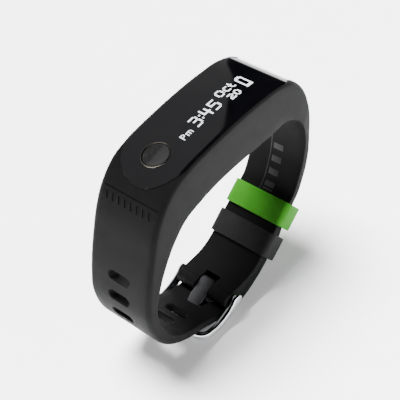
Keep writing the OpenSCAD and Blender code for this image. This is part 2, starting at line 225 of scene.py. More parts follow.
NODE_FINISH = {
    "end_trim": chrome, "case_back": casing_abs, "case_frame": casing_abs, "case_seal": red_seal,
    "case_screws": bare_steel, "charge_contacts": gold_plate, "window_tape": black_foam,
    "button_ring": bronze_ring, "button_cap": satin_button, "button_seal": black_silicone,
    "switch_body": ceramic, "switch_plunger": casing_abs, "display_panel": display_glass,
    "display_foam": black_foam, "display_flex": polyimide, "main_board": solder_mask,
    "radio_chip": chip_epoxy, "motion_sensor": chip_epoxy, "memory_chip": chip_epoxy,
    "antenna": ceramic, "small_parts": ceramic, "battery": foil, "motor_can": bare_steel,
    "motor_base": bare_steel, "motor_shaft": bare_steel, "motor_rotor": tungsten,
    "buckle_pin": bare_steel, "buckle_frame": chrome, "buckle_tongue": dark_steel,
    "keeper": keeper_silicone_painted_lighter, "free_loop": green_silicone, "wristband": black_silicone,
    "front_window": smoked_window,
}
for node_name, finish in NODE_FINISH.items():
    node_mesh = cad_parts[node_name].data
    node_mesh.materials.clear()
    node_mesh.materials.append(finish)

# ---- curves of the band, in mm, as in the solid part --------------------------------------

STRETCH_MID = (13.6, 12.6)
STRETCH_TILT = math.radians(32)
STRAP_T, TAIL_TOP, TAIL_T, TAIL_TIP = 2.2, 2.5, 2.0, 6.9
PIN_AT = (-5.0, 4.2)
TONGUE_W = 4.3
SWING = 6


def on_strap(up, deep):
    c, s = math.cos(STRETCH_TILT), math.sin(STRETCH_TILT)
    return (STRETCH_MID[0] + up * c + deep * s, STRETCH_MID[1] + up * s - deep * c)


WRIST = [
    (-5, 6.3), (-1.5, 6.2), (2.3, 6.5),
    on_strap(-8.5, 0), on_strap(-7, 0), on_strap(0, 0), on_strap(8, 0), on_strap(9.5, 0),
    (25.4, 22.2), (28.1, 27.5), (29.2, 33), (28.6, 38), (26.6, 41.9), (23, 44.1),
    (19, 44.2), (-8, 44.2),
    (-13.5, 42.9), (-18.2, 39.8), (-21.8, 36.2), (-26.4, 30),
    (-28.6, 25.5), (-28.9, 20.7), (-27.6, 15.5), (-24.8, 11), (-20.5, 7.8), (-15, 5.1),
    (-10, 2.9), (-5, 2), (-1.2, 2.5), (3.1, 3.9),
    on_strap(-8.5, TAIL_TOP), on_strap(-7, TAIL_TOP), on_strap(TAIL_TIP, TAIL_TOP),
]
OUTER = [
    (-5, 2.3), (-1.5, 2.8), (3.2, 4.2),
    on_strap(-8.5, STRAP_T), on_strap(-7, STRAP_T), on_strap(8, STRAP_T), on_strap(9.5, STRAP_T),
    (27.3, 20.7), (30.3, 26.8), (31.6, 34), (32.05, 43), (30.8, 49.5), (28.1, 53),
    (23.5, 55.1), (16, 56.1),
    (-2, 56.1), (-8.5, 55.6), (-14, 54.2), (-19.2, 50.4), (-23, 45.5), (-26, 39.8), (-30.3, 30),
    (-32, 24), (-31.8, 18), (-28.8, 11.3), (-21.9, 5.6), (-16, 3.1),
    (-10.6, 0.9), (-5, 0), (-0.8, 0.4), (3.9, 1.9),
    on_strap(-8.5, TAIL_TOP + TAIL_T), on_strap(-7, TAIL_TOP + TAIL_T),
    on_strap(TAIL_TIP, TAIL_TOP + TAIL_T),
]
# Where the two curves face each other, and the section there: place on the outer curve and
# on the wrist curve, half width, width and depth of the soft shoulder, radius on the wrist side
SECTIONS = [
    (0, 0, 8.5, 0.7, 0.7, 0.3), (2, 2, 8.5, 0.7, 0.7, 0.3), (4, 4, 8.5, 0.7, 0.7, 0.3),
    (6, 7, 8.5, 0.7, 0.7, 0.3), (7, 8, 8.55, 0.8, 0.8, 0.3), (8, 9, 8.85, 0.9, 0.9, 0.3),
    (9, 10, 9.4, 1.2, 1.0, 0.35), (10, 11, 10.15, 1.5, 1.2, 0.4), (11, 12, 10.3, 1.7, 1.35, 0.4),
    (12, 12.6, 10.3, 1.3, 1.1, 0.4), (13, 13, 10.3, 1.1, 1.0, 0.4), (14, 14, 10.3, 1.1, 1.0, 0.4),
    (15, 15, 10.3, 1.1, 1.0, 0.4), (16, 15.3, 10.3, 1.2, 1.1, 0.4), (17, 16.1, 10.3, 1.4, 1.2, 0.4),
    (18, 17, 10.3, 1.6, 1.3, 0.4), (19, 17.7, 10.3, 1.7, 1.4, 0.4), (20, 18.4, 10.3, 1.7, 1.3, 0.4),
    (21, 19.2, 10.3, 1.6, 1.2, 0.35), (22, 20.2, 10.25, 1.6, 1.2, 0.35),
    (23, 21.4, 10.0, 1.6, 1.1, 0.35), (24, 22.7, 9.5, 1.4, 1.0, 0.35),
    (25, 23.9, 8.75, 1.1, 0.9, 0.35), (26, 25, 8.2, 0.9, 0.8, 0.3), (27, 26, 8.2, 0.8, 0.7, 0.3),
    (32, 31, 8.0, 0.8, 0.7, 0.3), (33, 32, 7.9, 0.8, 0.7, 0.3),
]


def heading(points, i):
    before = points[i] - points[i - 1] if i else None
    after = points[i + 1] - points[i] if i < len(points) - 1 else None
    if before is None:
        return after.normalized()
    if after is None:
        return before.normalized()
    a, b = before.length, after.length
    return (before * b / a + after * a / b) / (a + b)


class Curve:
    """A smooth curve in the side view, through its points."""

    def __init__(self, points):
        self.points = [Vector(p) for p in points]
        self.headings = [heading(self.points, i) for i in range(len(points))]
        self.last = len(points) - 1

    def at(self, t):
        i = min(max(int(t), 0), self.last - 1)
        u = t - i
        p, q = self.points[i], self.points[i + 1]
        size = (q - p).length
        return (
            p + (p - q) * (2 * u - 3) * u * u
            + (self.headings[i] * (1 - u) - self.headings[i + 1] * u) * (u * (1 - u) * size)
        )

    def normal(self, t):
        d = (self.at(min(t + 0.02, self.last)) - self.at(max(t - 0.02, 0))).normalized()
        return Vector((-d.y, d.x))

    def chords(self, start, end, steps=6):
        return [self.at(start + k / steps) for k in range((end - start) * steps + 1)]


wrist, outer = Curve(WRIST), Curve(OUTER)


def up_from(curve, t):
    """The normal that points up, out of the curve at place t."""
    n = curve.normal(t)
    return n if n.y > 0 else -n


def section_at(t):
    """The section's numbers at place t on the outer curve."""
    for a, b in zip(SECTIONS, SECTIONS[1:]):
        if t <= b[0]:
            u = (t - a[0]) / (b[0] - a[0])
            return [p + (q - p) * u for p, q in zip(a, b)]
    return list(SECTIONS[-1])


def shoulder_drop(y, half, width, depth):
    """How far the outer face has fallen below its crown at y."""
    past = abs(y) - (half - width)
    return 0.0 if past <= 0 else depth * (1 - math.sqrt(max(0.0, 1 - (past / width) ** 2)))


# ---- mesh tools ------------------------------------------------------------------------


def in_metres(x, y, z):
    return Vector((x, y, z)) * MM


def sweep(form, rings, closed=False):
    """Draws the first ring and extrudes it from each ring to the next."""
    first = [form.verts.new(p) for p in rings[0]]
    edges = [form.edges.new((first[i - 1], first[i])) for i in range(len(first))]
    line = first
    for ring in rings[1:]:
        grown = bmesh.ops.extrude_edge_only(form, edges=edges)["geom"]
        fresh = {g for g in grown if isinstance(g, bmesh.types.BMVert)}
        edges = [g for g in grown if isinstance(g, bmesh.types.BMEdge)
                 and g.verts[0] in fresh and g.verts[1] in fresh]
        following = []
        for vert, place in zip(line, ring):
            twin = next(e.other_vert(vert) for e in vert.link_edges if e.other_vert(vert) in fresh)
            twin.co = place
            following.append(twin)
        line = following
    if closed:
        ends = [e for e in form.edges if e.is_boundary]
        bmesh.ops.bridge_loops(form, edges=ends)
    else:
        bmesh.ops.contextual_create(form, geom=first)
        bmesh.ops.contextual_create(form, geom=line)
    bmesh.ops.recalc_face_normals(form, faces=form.faces)


def finish_mesh(form, name, material=None, sharp=35):
    mesh = bpy.data.meshes.new(name)
    form.to_mesh(mesh)
    form.free()
    for face in mesh.polygons:
        face.use_smooth = True
    mesh.set_sharp_from_angle(angle=math.radians(sharp))
    if material:
        mesh.materials.append(material)
    obj = bpy.data.objects.new(name, mesh)
    bpy.context.scene.collection.objects.link(obj)
    return obj


def swept(name, rings, material=None, closed=False, sharp=35):
    form = bmesh.new()
    sweep(form, rings, closed)
    return finish_mesh(form, name, material, sharp)


def joined(tools):
    """Tools that don't touch, as one."""
    form = bmesh.new()
    for tool in tools:
        form.from_mesh(tool.data)
        bpy.data.objects.remove(tool)
    return finish_mesh(form, "tools")


def carve(body, tools, sharp=30):
    """Cuts or joins the tools into the body, one after another, and removes them.

    The work is done with a millimetre as the unit, where the solver is at its best.
    """
    for part in [body] + [tool for _, tool in tools]:
        part.data.transform(Matrix.Scale(1 / MM, 4))
    for how, tool in tools:
        step = body.modifiers.new("carve", "BOOLEAN")
        step.operation = how
        step.solver = "EXACT"
        step.object = tool
        bpy.context.view_layer.update()
        view = body.evaluated_get(bpy.context.evaluated_depsgraph_get())
        mesh = bpy.data.meshes.new_from_object(view)
        body.modifiers.clear()
        body.data = mesh
        bpy.data.objects.remove(tool)
        form = bmesh.new()
        form.from_mesh(mesh)
        bmesh.ops.triangulate(form, faces=form.faces)
        bmesh.ops.remove_doubles(form, verts=form.verts, dist=0.0001)
        rims = [e for e in form.edges if e.is_boundary]
        bmesh.ops.holes_fill(form, edges=rims, sides=0)
        loose = [v for v in form.verts if not v.link_faces]
        bmesh.ops.delete(form, geom=loose, context="VERTS")
        form.to_mesh(mesh)
        form.free()
    body.data.transform(Matrix.Scale(MM, 4))
    for face in mesh.polygons:
        face.use_smooth = True
    mesh.set_sharp_from_angle(angle=math.radians(sharp))
    mesh.update()
    return body


def rounded_box(name, x, y, z, radius, segments=6, sharp=35):
    """A box whose upright edges are rounded."""
    form = bmesh.new()
    bmesh.ops.create_cube(form, size=1)
    bmesh.ops.scale(form, verts=form.verts, vec=in_metres(x[1] - x[0], y[1] - y[0], z[1] - z[0]))
    bmesh.ops.translate(
        form, verts=form.verts, vec=in_metres(sum(x) / 2, sum(y) / 2, sum(z) / 2)
    )
    upright = [e for e in form.edges if abs((e.verts[0].co - e.verts[1].co).z) > 1e-6]
    if radius:
        bmesh.ops.bevel(form, geom=upright, offset=radius * MM, segments=segments,
                        profile=0.5, affect="EDGES", material=-1)
    return finish_mesh(form, name, sharp=sharp)


def side_extrusion(name, points, width):
    """A side-view outline, made width wide across the band."""
    rings = [[in_metres(p[0], y, p[1]) for p in points] for y in (-width / 2, width / 2)]
    return swept(name, rings)


# ---- wristband -------------------------------------------------------------------------

BAND_STEP = 0.8
SLOT_FIRST, SLOT_PITCH, SLOT_COUNT = 8.4, 5.35, 12
SLOT_W, SLOT_L, SLOT_LIP, SLOT_END_STEPS = 6.8, 2.3, 0.32, 11
# The tongue is through this slot, and its opening is the tongue's own clearance
FASTENED_SLOT = 7


def band_ring(t):
    _, w, half, sw, sd, ri = section_at(t)
    top, low = outer.at(t), wrist.at(w)
    if t > 32:  # the round tip of the tail
        past = max(0.0, (t - 32.45) / 0.55)
        half *= math.sqrt(max(0.03, 1 - past * past))
        sw = min(sw, half * 0.4)
    deep = (low - top).length
    down = (low - top) / deep
    rim = [(y / 4 * (half - sw), 0) for y in range(4)]
    rim += [(half - sw + sw * math.sin(a * math.pi / 16), sd * (1 - math.cos(a * math.pi / 16)))
            for a in range(9)]
    rim += [(half, sd + (deep - ri - sd) * k / 4) for k in (1, 2, 3)]
    rim += [(half - ri + ri * math.cos(a * math.pi / 8), deep - ri + ri * math.sin(a * math.pi / 8))
            for a in range(5)]
    rim += [(y / 4 * (half - ri), deep) for y in (3, 2, 1)]
    loop = rim + [(0, deep)] + [(-y, d) for y, d in reversed(rim[1:])]
    return [in_metres(top.x + down.x * d, y, top.y + down.y * d) for y, d in loop]


def band_places():
    places = []
    for i in range(outer.last):
        count = max(2, round((outer.points[i + 1] - outer.points[i]).length / BAND_STEP))
        places += [i + k / count for k in range(count)]
    return places + [outer.last]


def hole_line():
    a, b = wrist.chords(18, wrist.last), outer.chords(20, outer.last)
    return [(a[round(i * (len(a) - 1) / (len(b) - 1))] + q) / 2 for i, q in enumerate(b)]


def place_along(line, distance):
    for p, q in zip(line, line[1:]):
        if distance <= (q - p).length:
            break
        distance -= (q - p).length
    d = (q - p).normalized()
    return p + d * distance, d


def slot_ring(centre, along, rise, grow):
    """An outline of a slot, at a height above the strap's middle."""
    up = Vector((-along.y, along.x))
    r = SLOT_L / 2 + grow
    straight = SLOT_W / 2 - SLOT_L / 2
    ring = []
    for end, side in enumerate((1, -1)):
        for k in range(SLOT_END_STEPS + 1):
            a = math.pi * (k + SLOT_END_STEPS * end) / SLOT_END_STEPS
            ring.append((r * math.cos(a), side * straight + r * math.sin(a)))
    return [in_metres(centre.x + along.x * u + up.x * rise, y,
                      centre.y + along.y * u + up.y * rise) for u, y in ring]


def slot_cutter(number, line, distance):
    """A tool for one slot, which flares at both faces of the strap into a soft lip."""
    centre, along = place_along(line, distance)
    up = Vector((-along.y, along.x))
    # how far it is to each face of the strap, straight out of the slot
    faces = []
    for curve in (wrist, outer):
        near = min((curve.at(t / 20) for t in range(20 * 17, 20 * curve.last)),
                   key=lambda p: abs((p - centre).dot(along)) + 0.2 * abs((p - centre).dot(up)))
        faces.append((near - centre).dot(up))
    low, high = min(faces), max(faces)
    curl = [math.sin(step * math.pi / 2) for step in (0.25, 0.5, 0.75, 1)]
    stops = [(low - 1, SLOT_LIP * 1.1), (low - 0.02, SLOT_LIP)]
    stops += [(low + SLOT_LIP * c, SLOT_LIP * (1 - c)) for c in curl]
    stops += [(high - SLOT_LIP * c, SLOT_LIP * (1 - c)) for c in reversed(curl)]
    stops += [(high + 0.02, SLOT_LIP), (high + 1, SLOT_LIP * 1.1)]
    return swept(f"slot_{number}", [slot_ring(centre, along, *stop) for stop in stops])


TONGUE = Curve([
    (-5.4, 5.5), (-8.4, 4.35), (-11.6, 2.75), (-14.4, 1.35), (-16.6, 0.6), (-18.2, 0.62),
])


def moved(line, by):
    out = []
    for i, p in enumerate(line):
        d = (line[min(i + 1, len(line) - 1)] - line[max(i - 1, 0)]).normalized()
        out.append(p + Vector((-d.y, d.x)) * by)
    return out


def turned(p, degrees):
    a = math.radians(degrees)
    d = p - Vector(PIN_AT)
    return Vector((PIN_AT[0] + d.x * math.cos(a) - d.y * math.sin(a),
                   PIN_AT[1] + d.x * math.sin(a) + d.y * math.cos(a)))


def tongue_clearance():
    blade = TONGUE.chords(0, TONGUE.last)[5:25]
    low = [turned(p, SWING) for p in moved(blade, 0.85)]
    return side_extrusion("tongue_clearance", moved(blade, -0.85) + low[::-1], TONGUE_W + 0.5)


def place_on_top(x):
    """The place on the outer curve whose x this is, across the capsule."""
    a, b = 11.0, 20.0
    for _ in range(40):
        mid = (a + b) / 2
        if outer.at(mid).x > x:
            a = mid
        else:
            b = mid
    return a


def top_point(x, y, depth=0.0):
    """A point of the capsule's top face, or below it."""
    t = place_on_top(x)
    _, _, half, sw, sd, _ = section_at(t)
    p, n = outer.at(t), up_from(outer, t)
    fall = depth + shoulder_drop(y, half, sw, sd)
    return in_metres(p.x - n.x * fall, y, p.y - n.y * fall)


WINDOW_HALF, WINDOW_ROUND, WINDOW_X, WINDOW_CORNER = 9.7, 8.8, (-8.6, 27.7), 2.6
ROUND_STEPS, STRAIGHT_STEPS, CORNER_STEPS = 24, 30, 9
ACROSS = [math.sin(math.pi / 2 * k / 12) for k in range(-12, 13)]


def window_outline(grow):
    """Places along the window and its half width there."""
    half, reach = WINDOW_HALF + grow, WINDOW_ROUND + grow
    corner = WINDOW_X[1] + grow - WINDOW_CORNER
    rows = []
    for k in range(1, ROUND_STEPS + 1):
        a = math.pi / 2 * k / ROUND_STEPS
        rows.append((WINDOW_X[0] - reach * math.cos(a), half * math.sin(a)))
    rows += [(WINDOW_X[0] + (corner - WINDOW_X[0]) * k / STRAIGHT_STEPS, half)
             for k in range(1, STRAIGHT_STEPS)]
    for k in range(CORNER_STEPS):
        a = math.pi / 2 * k / CORNER_STEPS
        rows.append((corner + WINDOW_CORNER * math.sin(a),
                     half - WINDOW_CORNER + WINDOW_CORNER * math.cos(a)))
    rows.append((corner + WINDOW_CORNER, half - WINDOW_CORNER))
    return rows


def slab(name, outline, top, bottom, edge=0.0, material=None, floor=None):
    """A plate that follows the capsule's top face, from one depth to another."""
    rings = []
    for x, half in outline:
        upper = [top_point(x, (half - edge) * s, top) for s in ACROSS]
        ends = [[], []]
        if edge:
            for side, store in ((1, ends[0]), (-1, ends[1])):
                for a in (1, 2, 3):
                    turn = a * math.pi / 6
                    store.append(top_point(x, side * (half - edge + edge * math.sin(turn)),
                                           top + edge * (1 - math.cos(turn))))
        if floor is None:
            lower = [top_point(x, half * s, bottom) for s in reversed(ACROSS)]
        else:
            lower = [in_metres(x, half * s, floor) for s in reversed(ACROSS)]
        rings.append(upper + ends[0] + lower + ends[1][::-1])
    return swept(name, rings, material)


def drum(name, at, radius, length, edge, material=None):
    """A roller across the strap, with rounded rims."""
    form = bmesh.new()
    bmesh.ops.create_cone(form, cap_ends=True, segments=48, radius1=radius * MM,
                          radius2=radius * MM, depth=length * MM,
                          matrix=Matrix.Rotation(math.pi / 2, 4, "X"))
    rims = [e for e in form.edges if max(len(f.verts) for f in e.link_faces) > 4]
    bmesh.ops.bevel(form, geom=rims, offset=edge * MM, segments=3, profile=0.5,
                    affect="EDGES", material=-1)
    bmesh.ops.translate(form, verts=form.verts, vec=in_metres(at[0], 0, at[1]))
    return finish_mesh(form, name, material)


PRESSED_DEPTH = 0.14
PRESSED_LINE = (18.05, 0.13, 17.8)
PRESSED_DASHES = [-6.9 + 1.97 * k for k in range(8)]
DASH_PLACE, DASH_PROUD, DASH_LEAN, DASH_SIZE = 18.38, 0.36, 18, (1.9, 0.8, 1.0)


def pressed_line():
    t, half, length = PRESSED_LINE
    p, n = outer.at(t), up_from(outer, t)
    along = Vector((n.y, -n.x)) * half
    return side_extrusion("pressed_line", [p + along + n, p - along + n,
                                           p - along - n * PRESSED_DEPTH,
                                           p + along - n * PRESSED_DEPTH], length)


def pressed_dashes():
    """A row of plain leaning dashes under the pressed line."""
    p, n = outer.at(DASH_PLACE), up_from(outer, DASH_PLACE)
    turn = Matrix(((n.y, 0, n.x), (0, 1, 0), (-n.x, 0, n.y))).to_4x4()
    form = bmesh.new()
    for y in PRESSED_DASHES:
        bmesh.ops.create_cube(form, size=1, matrix=(
            Matrix.Translation(in_metres(p.x + n.x * DASH_PROUD, y, p.y + n.y * DASH_PROUD)) @ turn
            @ Matrix.Rotation(math.radians(DASH_LEAN), 4, "Z")
            @ Matrix.Diagonal(tuple(size * MM for size in DASH_SIZE) + (1,))))
    return finish_mesh(form, "pressed_dashes")


# The lug is a roll of silicone round the pin, drawn out into a nose
LUG_ROLL_R, LUG_ROLL_W = 2.1, 17.05
LUG_NOSE, LUG_NOSE_R, LUG_NOSE_W, LUG_RIM = (-6.5, 4.45), 1.93, 16.91, 0.3
FIT_GAP = 0.05


def build_wristband():
    band = swept("silicone_band", [band_ring(t) for t in band_places()], black_silicone)
    tools = [("UNION", drum("lug_roll", PIN_AT, LUG_ROLL_R, LUG_ROLL_W, LUG_RIM)),
             ("UNION", drum("lug_nose", LUG_NOSE, LUG_NOSE_R, LUG_NOSE_W, LUG_RIM))]
    line = hole_line()
    notch_half = (TONGUE_W + 0.6) / 2
    tools += [("DIFFERENCE", joined(group)) for group in (
        [slab("window_pocket", window_outline(FIT_GAP), -1.5, 1.45), pressed_line(), pressed_dashes()]
        + [slot_cutter(i, line, SLOT_FIRST + SLOT_PITCH * i) for i in range(SLOT_COUNT)
           if i != FASTENED_SLOT],
        [slab("capsule_pocket", [(-13.05 + 40.1 * k / 20, 9.05) for k in range(21)], 1.2, 0,
              floor=44.95), tongue_clearance()],
        [slab("trim_pocket", [(26.7 + 0.5 * k, 8.25) for k in range(5)], -1.5, 1.4),
         rounded_box("plate_pocket", (-9.05, 21.05), (-6.75, 6.75), (40, 46), 2.05),
         rounded_box("tongue_notch", (PIN_AT[0] - 4, PIN_AT[0] + 2.4),
                     (-notch_half, notch_half), (2.1, 8), 0)],
    )]
    carve(band, tools)
    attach(band, "band")
    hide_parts("wristband")


BUTTON_AT, BUTTON_TILT = (-9.4, 55.42), math.radians(-9)
BUTTON_R, BUTTON_HOLE_R, DISH = 3.3, 3.72, 0.5
WINDOW_SINK, WINDOW_DEEP, WINDOW_EDGE = 0.012, 1.35, 0.14


def button_place():
    return (Matrix.Translation(in_metres(BUTTON_AT[0], 0, BUTTON_AT[1]))
            @ Matrix.Rotation(BUTTON_TILT, 4, "Y"))


def build_window():
    window = slab("window_shell", window_outline(0), WINDOW_SINK, WINDOW_DEEP,
                  edge=WINDOW_EDGE, material=smoked_window)
    hole = bmesh.new()
    bmesh.ops.create_cone(hole, cap_ends=True, segments=64, radius1=BUTTON_HOLE_R * MM,
                          radius2=BUTTON_HOLE_R * MM, depth=6 * MM, matrix=button_place())
    carve(window, [("DIFFERENCE", finish_mesh(hole, "button_hole"))])
    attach(window, "band")
    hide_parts("front_window")


# ---- button, far end strip and readout -----------------------------------------------------


def spun(name, profile, material, place):
    """A round piece, from half of its section as radius and height, about its own axis."""
    form = bmesh.new()
    verts = [form.verts.new(in_metres(r, 0, z)) for r, z in profile]
    edges = [form.edges.new(pair) for pair in zip(verts, verts[1:])]
    bmesh.ops.spin(form, geom=verts + edges, axis=(0, 0, 1), cent=(0, 0, 0), steps=96,
                   angle=math.tau, use_merge=True)
    bmesh.ops.remove_doubles(form, verts=form.verts, dist=1e-7)
    bmesh.ops.recalc_face_normals(form, faces=form.faces)
    bmesh.ops.transform(form, verts=form.verts, matrix=place)
    return finish_mesh(form, name, material)


def build_button():
    place = button_place()
    bowl = [(BUTTON_R * 0.94 * k / 10, -DISH + DISH * 0.94 * (k / 10) ** 2) for k in range(11)]
    cap = spun("dished_button", bowl + [
        (BUTTON_R - 0.08, -0.02), (BUTTON_R, -0.12), (BUTTON_R, -1.2), (0.8, -1.2),
        (0.8, -2.95), (0, -2.95)], satin_button, place)
    ring = spun("button_bezel", [
        (3.4, -1.2), (3.7, -1.2), (3.7, 0.06), (3.66, 0.13), (3.58, 0.15), (3.48, 0.13),
        (3.42, 0.06), (3.4, -0.05), (3.4, -1.2)], bronze_ring, place)
    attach(cap, "button")
    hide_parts("button_cap")
    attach(ring, "band")
    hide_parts("button_ring")


STRIP_START, STRIP_PITCH, STRIP_HALF, STRIP_DEEP = 27.78, 0.115, 8.2, 1.1


def build_end_strip():
    outline = [(STRIP_START + STRIP_PITCH * k, STRIP_HALF) for k in range(9)]
    strip = slab("end_strip", outline, 0.0, STRIP_DEEP, edge=0.1, material=chrome)
    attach(strip, "band")
    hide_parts("end_trim")


GLYPHS = {
    "3": "####. ....# ....# .###. ....# ....# ....# ####.",
    "4": "#.... #..#. #..#. #..#. ##### ...#. ...#. ...#.",
    "5": "##### #.... #.... ####. ....# ....# ....# ####.",
    ":": ". . # . . # . .",
    "P": "####. #...# #...# ####. #.... #.... #....",
    "m": "######. #..#..# #..#..# #..#..# #..#..#",
    "O": ".###. #...# #...# #...# #...# .###.",
    "c": ".### #... #... #... .###",
    "t": ".#.. .#.. ###. .#.. .#.. ..##",
    "2": "###. ...# .##. #... ####",
    "0": ".##. #..# #..# #..# .##.",
    "cell": ".###. ##### #...# #...# #...# #...# #...# #...# #...# #...# ##### #####",
}
# What the display says: each glyph's left and top in mm, and the size of its dots
READOUT = [
    ("P", -2.75, -1.45, 0.24, 0.26), ("m", -1.2, -1.97, 0.24, 0.26),
    ("3", 2.05, 0.3, 0.44, 0.45), (":", 4.78, 0.3, 0.42, 0.45),
    ("4", 5.72, 0.3, 0.44, 0.45), ("5", 8.55, 0.3, 0.44, 0.45),
    ("O", 12.2, 1.3, 0.42, 0.4), ("c", 14.7, 0.9, 0.38, 0.4), ("t", 16.5, 1.3, 0.36, 0.4),
    ("2", 13.4, -1.9, 0.4, 0.42), ("0", 15.3, -1.9, 0.4, 0.42),
    ("cell", 19.0, 1.0, 0.4, 0.4),
]


def lit_glyph(form, glyph, left, top, dot_x, dot_y):
    """The lit dots of a glyph, cut from a grid that lies on the window."""
    lines = GLYPHS[glyph].split()
    columns, rows = len(lines[0]), len(lines)
    grid = bmesh.ops.create_grid(form, x_segments=columns, y_segments=rows, size=0.5)["verts"]
    bmesh.ops.scale(form, verts=grid, vec=(columns, rows, 1))
    bmesh.ops.translate(form, verts=grid, vec=(columns / 2, -rows / 2, 0))
    dark = []
    for face in {f for v in grid for f in v.link_faces}:
        middle = face.calc_center_median()
        if lines[int(-middle.y)][int(middle.x)] != "#":
            dark.append(face)
    bmesh.ops.delete(form, geom=dark, context="FACES")
    for vert in grid:
        if vert.is_valid:
            vert.co = top_point(left + vert.co.x * dot_x, top + vert.co.y * dot_y, 0.005)


def build_readout():
    form = bmesh.new()
    for row in READOUT:
        lit_glyph(form, *row)
    bmesh.ops.solidify(form, geom=form.faces[:], thickness=0.02 * MM)
    bmesh.ops.recalc_face_normals(form, faces=form.faces)
    readout = finish_mesh(form, "lit_readout", lit_dots)
    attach(readout, "band")


# ---- loops -----------------------------------------------------------------------------

LOOP_L, LOOP_T, LOOP_DEEP, LOOP_HALF = 6.4, 0.85, 4.8, 8.65


def rounded_path(half_u, half_v, radius, steps=8):
    """Points and outward directions round a rounded rectangle."""
    out = []
    for su, sv, start in ((1, 1, 0), (-1, 1, 90), (-1, -1, 180), (1, -1, 270)):
        for k in range(steps + 1):
            a = math.radians(start + 90 * k / steps)
            d = (math.cos(a), math.sin(a))
            out.append((su * (half_u - radius) + radius * d[0],
                        sv * (half_v - radius) + radius * d[1], d))
    return out


def strap_loop(name, up, material, node, body):
    mid = on_strap(up, (TAIL_TOP + TAIL_T) / 2)
    c, s = math.cos(STRETCH_TILT), math.sin(STRETCH_TILT)
    wall = rounded_path(LOOP_L / 2, LOOP_T / 2, 0.24, 4)
    rings = []
    for deep, y, (dd, dy) in rounded_path((LOOP_DEEP + LOOP_T) / 2, LOOP_HALF + LOOP_T / 2, 1.3, 10):
        ring = []
        for along, out, _ in wall:
            a, b = deep + dd * out, y + dy * out
            ring.append(in_metres(mid[0] + c * along + s * a, b, mid[1] + s * along - c * a))
        rings.append(ring)
    piece = swept(name, rings, material, closed=True)
    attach(piece, body)
    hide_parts(node)


# ---- buckle ----------------------------------------------------------------------------

FRAME = Curve([PIN_AT, (-8.6, 2.5), (-12.6, 1.75), (-19.6, 3.1)])
BAR_X, ARM_Y, FRAME_CORNER = -18.5, 9.45, 2.4


FRAME_HALF_T, FRAME_HIGH, FRAME_THINS, FRAME_SQUARE = 0.8, 1.35, 0.3, 0.72
# The round eye at each arm's end, and how far behind and before the pin its stations are
EYE_R, EYE_REACH = 1.62, 1.6
EYE_STATIONS = (1.56, 1.4, 1.1, 0.7, 0.2, -0.3)


def frame_place(x):
    """Point and upward normal of the frame's side line at x, and its share of the line."""
    a, b = 0.0, float(FRAME.last)
    for _ in range(30):
        mid = (a + b) / 2
        if FRAME.at(mid).x > x:
            a = mid
        else:
            b = mid
    return FRAME.at(a), up_from(FRAME, a), a / FRAME.last


def eye_height(q):
    """Half the height of the eye at a distance from the pin."""
    return math.sqrt(EYE_R ** 2 - q * q)


def frame_centres():
    """The frame's middle line in plan, from one pin end round the bar to the other."""
    plan = [(x, ARM_Y) for x in [-5 - 0.55 * k for k in range(1, 19)]]
    plan += [(BAR_X + FRAME_CORNER - FRAME_CORNER * math.sin(a * math.pi / 20),
              ARM_Y - FRAME_CORNER + FRAME_CORNER * math.cos(a * math.pi / 20)) for a in range(11)]
    plan += [(BAR_X, 7 - k) for k in range(1, 7)]
    return [(x, -y) for x, y in plan] + [(BAR_X, 0)] + plan[::-1]


def frame_stops():
    """Stations along the frame: place, upward normal and half height."""
    n = up_from(FRAME, 0)
    back = Vector((n.y, -n.x))
    ends = []
    for side in (-1, 1):
        row = []
        for q in EYE_STATIONS:
            p = Vector(PIN_AT) + back * q
            row.append((Vector((p.x, side * ARM_Y, p.y)), n, eye_height(q)))
        ends.append(row)
    stops = []
    for x, y in frame_centres():
        p, up, share = frame_place(x)
        q = (p - Vector(PIN_AT)).length
        high = FRAME_HIGH - FRAME_THINS * share
        if q < EYE_REACH:
            high = max(high, eye_height(q))
        stops.append((Vector((x, y, p.y)), up, high))
    return ends[0] + stops + ends[1][::-1]


def build_frame():
    stops = frame_stops()
    rings = []
    for i, (place, side_up, high) in enumerate(stops):
        t = (stops[min(i + 1, len(stops) - 1)][0] - stops[max(i - 1, 0)][0]).normalized()
        up = Vector((side_up.x, 0, side_up.y))
        out = t.cross(up).normalized()
        ring = []
        for k in range(28):
            a = math.tau * k / 28
            ca, sa = math.cos(a), math.sin(a)
            w = FRAME_HALF_T * math.copysign(abs(ca) ** FRAME_SQUARE, ca)
            h = high * math.copysign(abs(sa) ** FRAME_SQUARE, sa)
            ring.append((place + out * w + up * h) * MM)
        rings.append(ring)
    frame_piece = swept("buckle_loop", rings, chrome, sharp=50)
    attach(frame_piece, "buckle")
    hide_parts("buckle_frame")


def build_tongue():
    rings = []
    steps = 40
    for k in range(steps + 1):
        t = 0.12 + (TONGUE.last - 0.12) * k / steps
        p, n = TONGUE.at(t), TONGUE.normal(t)
        thick = 0.6 - 0.24 * t / TONGUE.last
        tip = max(0.0, (k - steps + 4) / 4.3)
        half = TONGUE_W / 2 * math.sqrt(1 - tip * tip * 0.8)
        ring = [(p + n * v, y) for y, v, _ in rounded_path(half, thick, min(0.2, thick * 0.7), 3)]
        rings.append([in_metres(q.x, y, q.y) for q, y in ring])
    blade = swept("tongue_blade", rings, dark_steel)
    carve(blade, [("UNION", drum("tongue_roll", PIN_AT, 1.9, TONGUE_W, 0.18, dark_steel))])
    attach(blade, "tongue")
    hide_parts("buckle_tongue")


# ---- relief on the silicone --------------------------------------------------------------


def wrist_point(t, y, proud):
    p, n = wrist.at(t), wrist.normal(t)
    return in_metres(p.x + n.x * proud, y, p.y + n.y * proud)


